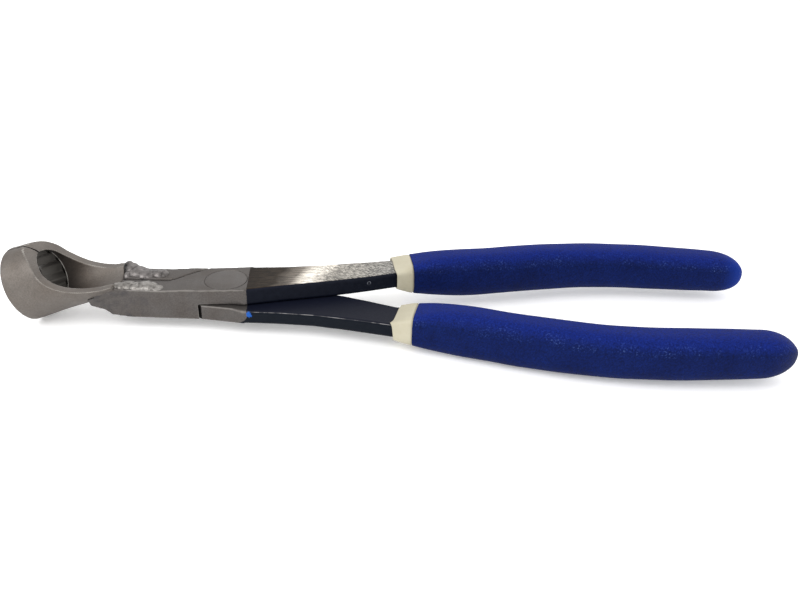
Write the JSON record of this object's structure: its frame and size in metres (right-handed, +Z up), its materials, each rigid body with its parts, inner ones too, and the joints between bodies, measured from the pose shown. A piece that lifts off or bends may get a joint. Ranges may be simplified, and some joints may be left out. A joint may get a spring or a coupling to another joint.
{
  "type": "cup jaw pliers",
  "caption": "Long lap-joint pliers with a split, toothed steel cup welded to the jaws and dipped vinyl grips on the handles.",
  "frame": {"origin": "on the pivot axis, at the joint's flat underside (the rivet's lower face)", "axes": "+X from the mouth to the grips, +Y to the right-hand side seen with the mouth in front, +Z up as the tool lies flat, along the pivot axis"},
  "size_m": [0.2789, 0.079, 0.0282],
  "materials": {
    "forged_steel": "bare satin steel at the jaws and joint, dark blue-black paint on the handles, one handle's top face ground bright",
    "bare_steel": "matte grey-brown bare steel",
    "weld_metal": "rough silvery weld bead",
    "cream_vinyl": "smooth semi-matte vinyl",
    "blue_vinyl": "finely grained matte vinyl"
  },
  "bodies": {
    "left_jaw_right_handle": {"left_jaw_lever": "forged_steel", "pivot_rivet": "bare_steel", "left_cup_half": "bare_steel", "left_toothed_band": "bare_steel", "left_top_weld": "weld_metal", "left_tack_weld": "weld_metal", "left_bottom_weld": "weld_metal", "right_handle_sleeve": "cream_vinyl", "right_grip": "blue_vinyl"},
    "right_jaw_left_handle": {"right_jaw_lever": "forged_steel", "right_cup_half": "bare_steel", "right_toothed_band": "bare_steel", "right_top_weld": "weld_metal", "right_end_weld": "weld_metal", "right_bottom_weld": "weld_metal", "left_handle_sleeve": "cream_vinyl", "left_grip": "blue_vinyl"}
  },
  "joints": [
    {"name": "jaw_pivot", "type": "hinge", "parent": "left_jaw_right_handle", "child": "right_jaw_left_handle", "pos_m": [0, 0, 0.006], "axis": [0, 0, -1], "range_deg": [0, 25]}
  ]
}
